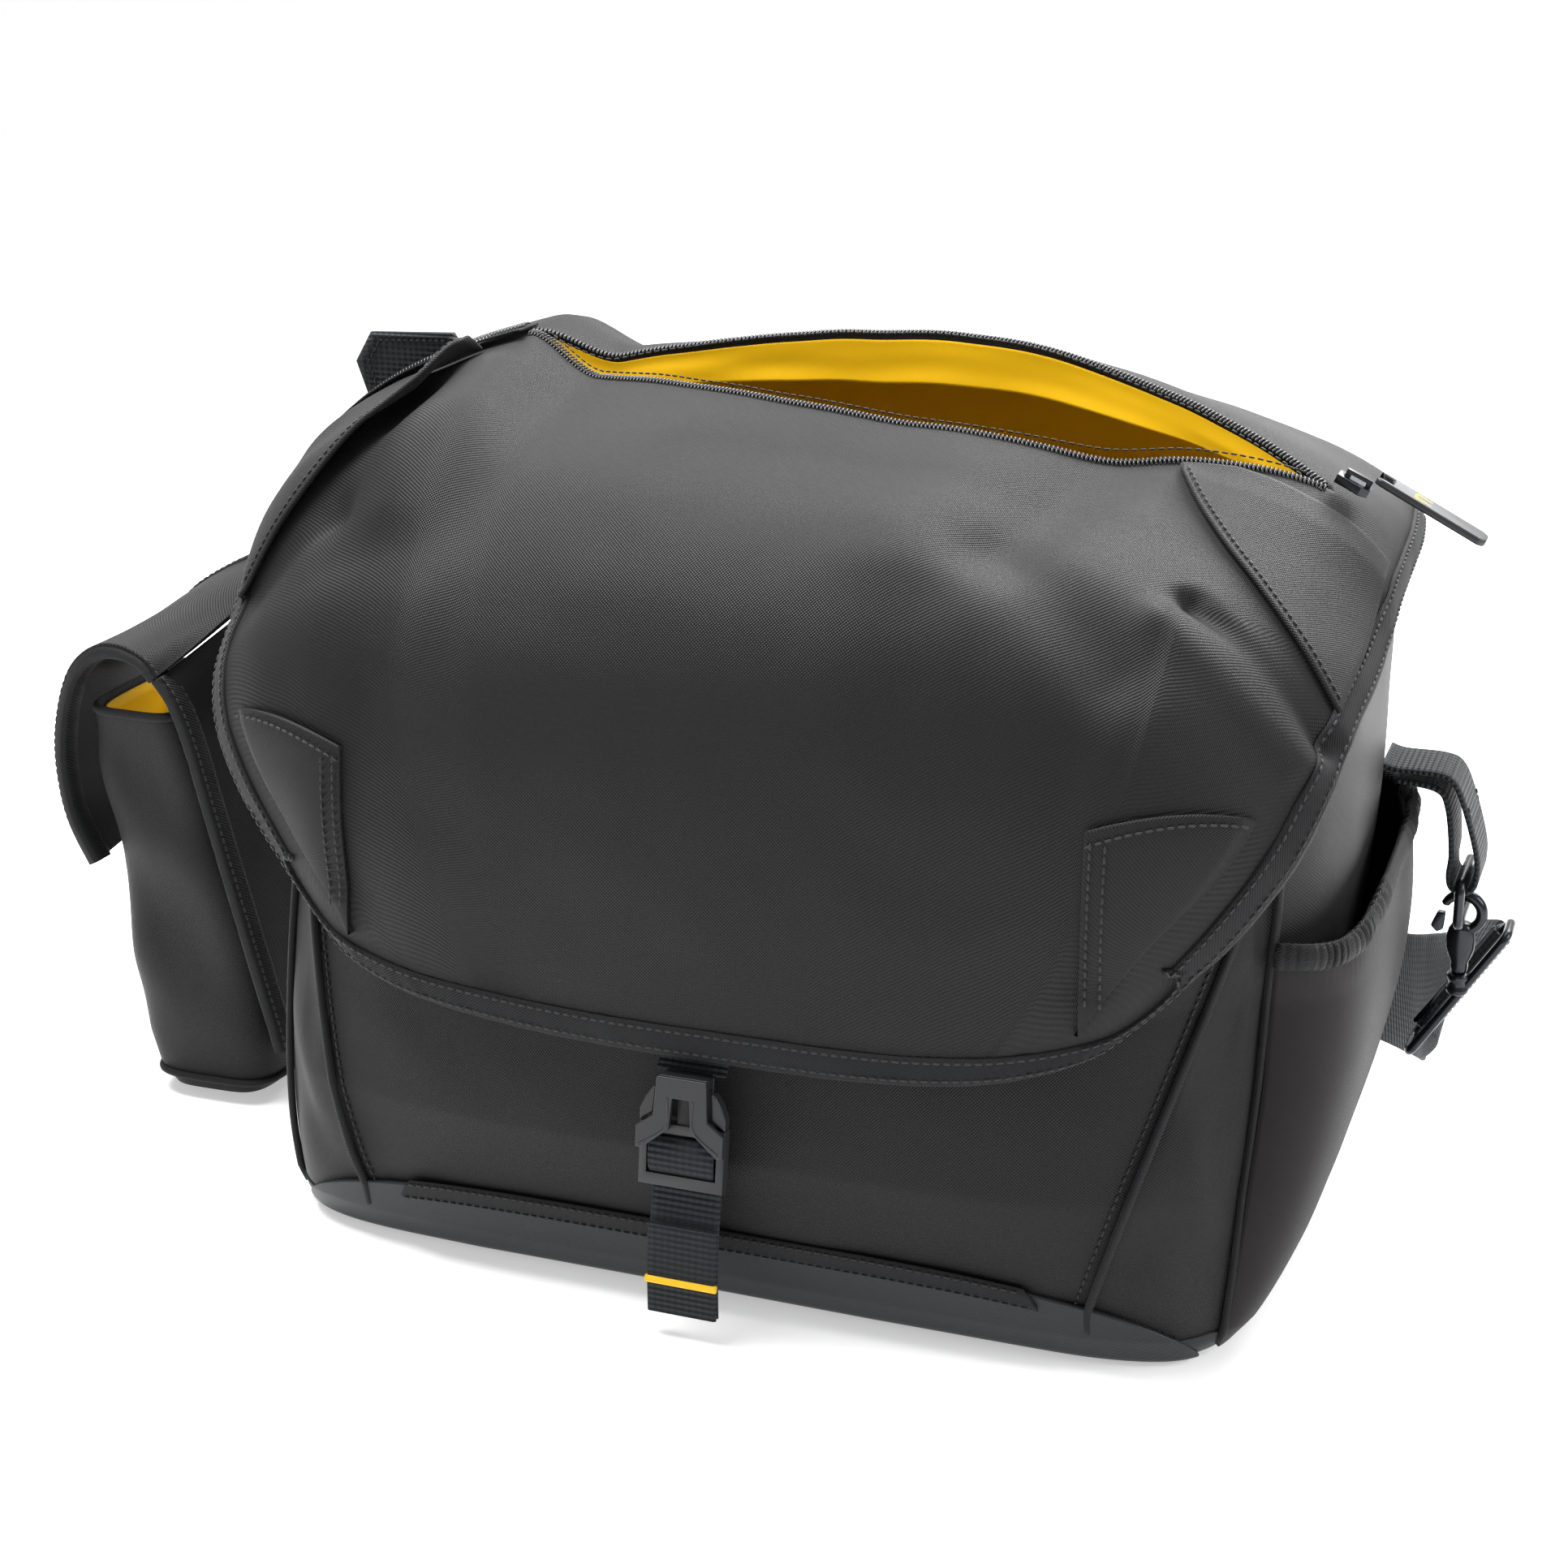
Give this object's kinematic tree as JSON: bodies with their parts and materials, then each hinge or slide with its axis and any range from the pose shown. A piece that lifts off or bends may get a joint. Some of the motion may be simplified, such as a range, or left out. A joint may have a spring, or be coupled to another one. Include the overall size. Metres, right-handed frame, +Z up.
{
  "type": "camera bag",
  "caption": "Soft padded camera shoulder bag with a domed front flap, quick-access zip, side-release buckle, stretch pocket, side pouch and shoulder strap",
  "frame": {"origin": "middle of the underside of the base", "axes": "+X to the bag's right seen from the front, -Y the front, +Z up"},
  "size_m": [0.5467, 0.3496, 0.306],
  "materials": {
    "main_fabric": "woven polyester, matt with a soft sheen",
    "binding_tape": "twill tape",
    "coated_base": "coated fabric, satin",
    "stretch_fabric": "smooth stretch fabric",
    "webbing": "ribbed nylon webbing",
    "yellow_lining": "smooth lining",
    "padding": "brushed loop fabric over foam",
    "black_plastic": "moulded acetal",
    "black_steel": "black plated zinc, glossy",
    "zip_coil": "nylon coil"
  },
  "bodies": {
    "bag": {"base_boot": "coated_base", "front_leaf": "coated_base", "trim_tape": "binding_tape", "front_panel": "main_fabric", "side_wall_left": "main_fabric", "side_wall_right": "main_fabric", "back_panel": "main_fabric", "lining": "yellow_lining", "bottom_pad": "padding", "divider_left": "padding", "divider_right": "padding", "stretch_pocket": "stretch_fabric", "pocket_binding": "binding_tape", "front_strap": "webbing", "pouch_shell": "main_fabric", "pouch_lining": "yellow_lining", "pouch_hanger": "main_fabric", "anchor_loop_left": "webbing", "anchor_loop_right": "webbing", "strap_loop_left": "black_steel", "strap_loop_right": "black_steel", "strap_fold_left": "webbing", "strap_fold_right": "webbing", "shoulder_strap": "webbing", "shoulder_pad": "padding"},
    "flap": {"flap_shell": "main_fabric", "flap_lining": "yellow_lining", "wing_panel_left": "main_fabric", "wing_panel_right": "main_fabric", "corner_patch_left": "main_fabric", "corner_patch_right": "main_fabric", "flap_binding": "binding_tape", "zip_coil_front": "zip_coil", "zip_coil_back": "zip_coil", "pull_tab": "webbing", "buckle_tab": "webbing", "buckle_socket": "black_plastic"},
    "slider": {"zip_slider": "black_steel"},
    "pull": {"zip_pull": "black_plastic"},
    "plug": {"buckle_plug": "black_plastic", "plug_webbing": "webbing"},
    "prong_l": {"prong_left": "black_plastic"},
    "prong_r": {"prong_right": "black_plastic"},
    "lid": {"pouch_lid": "main_fabric"},
    "ring_l": {"ring_left": "black_steel"},
    "ring_r": {"ring_right": "black_steel"},
    "hook_l": {"hook_left": "black_steel"},
    "hook_r": {"hook_right": "black_steel"},
    "catch_l": {"gate_left": "black_steel"},
    "catch_r": {"gate_right": "black_steel"},
    "adjuster": {"strap_adjuster": "black_plastic"}
  },
  "joints": [
    {"name": "flap_hinge", "type": "hinge", "parent": "bag", "child": "flap", "pos_m": [0, 0.097, 0.246], "axis": [-1, 0, 0], "range_deg": [0, 150]},
    {"name": "zip_travel", "type": "hinge", "parent": "flap", "child": "slider", "pos_m": [0, 0.027, -0.1166], "axis": [0, 1, 0], "range_deg": [-37.99, 0]},
    {"name": "pull_swing", "type": "hinge", "parent": "slider", "child": "pull", "pos_m": [0.1897, 0.027, 0.27222], "axis": [0, 1, 0], "range_deg": [-140, 0]},
    {"name": "plug_release", "type": "slide", "parent": "bag", "child": "plug", "axis": [0, -0.1898, -0.9818], "range_m": [0, 0.024]},
    {"name": "prong_left_squeeze", "type": "hinge", "parent": "plug", "child": "prong_l", "pos_m": [-0.0094, -0.12179, 0.07607], "axis": [0, 0.9818, -0.1898], "range_deg": [0, 8], "stiffness_Nm_per_rad": 0.02},
    {"name": "prong_right_squeeze", "type": "hinge", "parent": "plug", "child": "prong_r", "pos_m": [0.0094, -0.12179, 0.07607], "axis": [0, -0.9818, 0.1898], "range_deg": [0, 8], "stiffness_Nm_per_rad": 0.02},
    {"name": "lid_hinge", "type": "hinge", "parent": "bag", "child": "lid", "pos_m": [-0.208, 0.009, 0.2225], "axis": [0, 1, 0], "range_deg": [0, 100]},
    {"name": "ring_l_swing", "type": "hinge", "parent": "bag", "child": "ring_l", "pos_m": [-0.224, 0.068, 0.121], "axis": [0, 1, 0], "range_deg": [-6, 6]},
    {"name": "hook_l_swivel", "type": "hinge", "parent": "bag", "child": "hook_l", "pos_m": [-0.224, 0.068, 0.082], "axis": [0, 0, 1], "range_deg": [-30, 30]},
    {"name": "catch_l_press", "type": "hinge", "parent": "hook_l", "child": "catch_l", "pos_m": [-0.2158, 0.068, 0.0976], "axis": [0, -1, 0], "range_deg": [0, 12], "stiffness_Nm_per_rad": 0.02},
    {"name": "ring_r_swing", "type": "hinge", "parent": "bag", "child": "ring_r", "pos_m": [0.224, 0.068, 0.121], "axis": [0, 1, 0], "range_deg": [-6, 6]},
    {"name": "hook_r_swivel", "type": "hinge", "parent": "bag", "child": "hook_r", "pos_m": [0.224, 0.068, 0.082], "axis": [0, 0, 1], "range_deg": [-30, 30]},
    {"name": "catch_r_press", "type": "hinge", "parent": "hook_r", "child": "catch_r", "pos_m": [0.2158, 0.068, 0.0976], "axis": [0, 1, 0], "range_deg": [0, 12], "stiffness_Nm_per_rad": 0.02},
    {"name": "adjuster_slide", "type": "slide", "parent": "bag", "child": "adjuster", "axis": [0.9417, -0.3363, 0], "range_m": [-0.01, 0.01]}
  ]
}
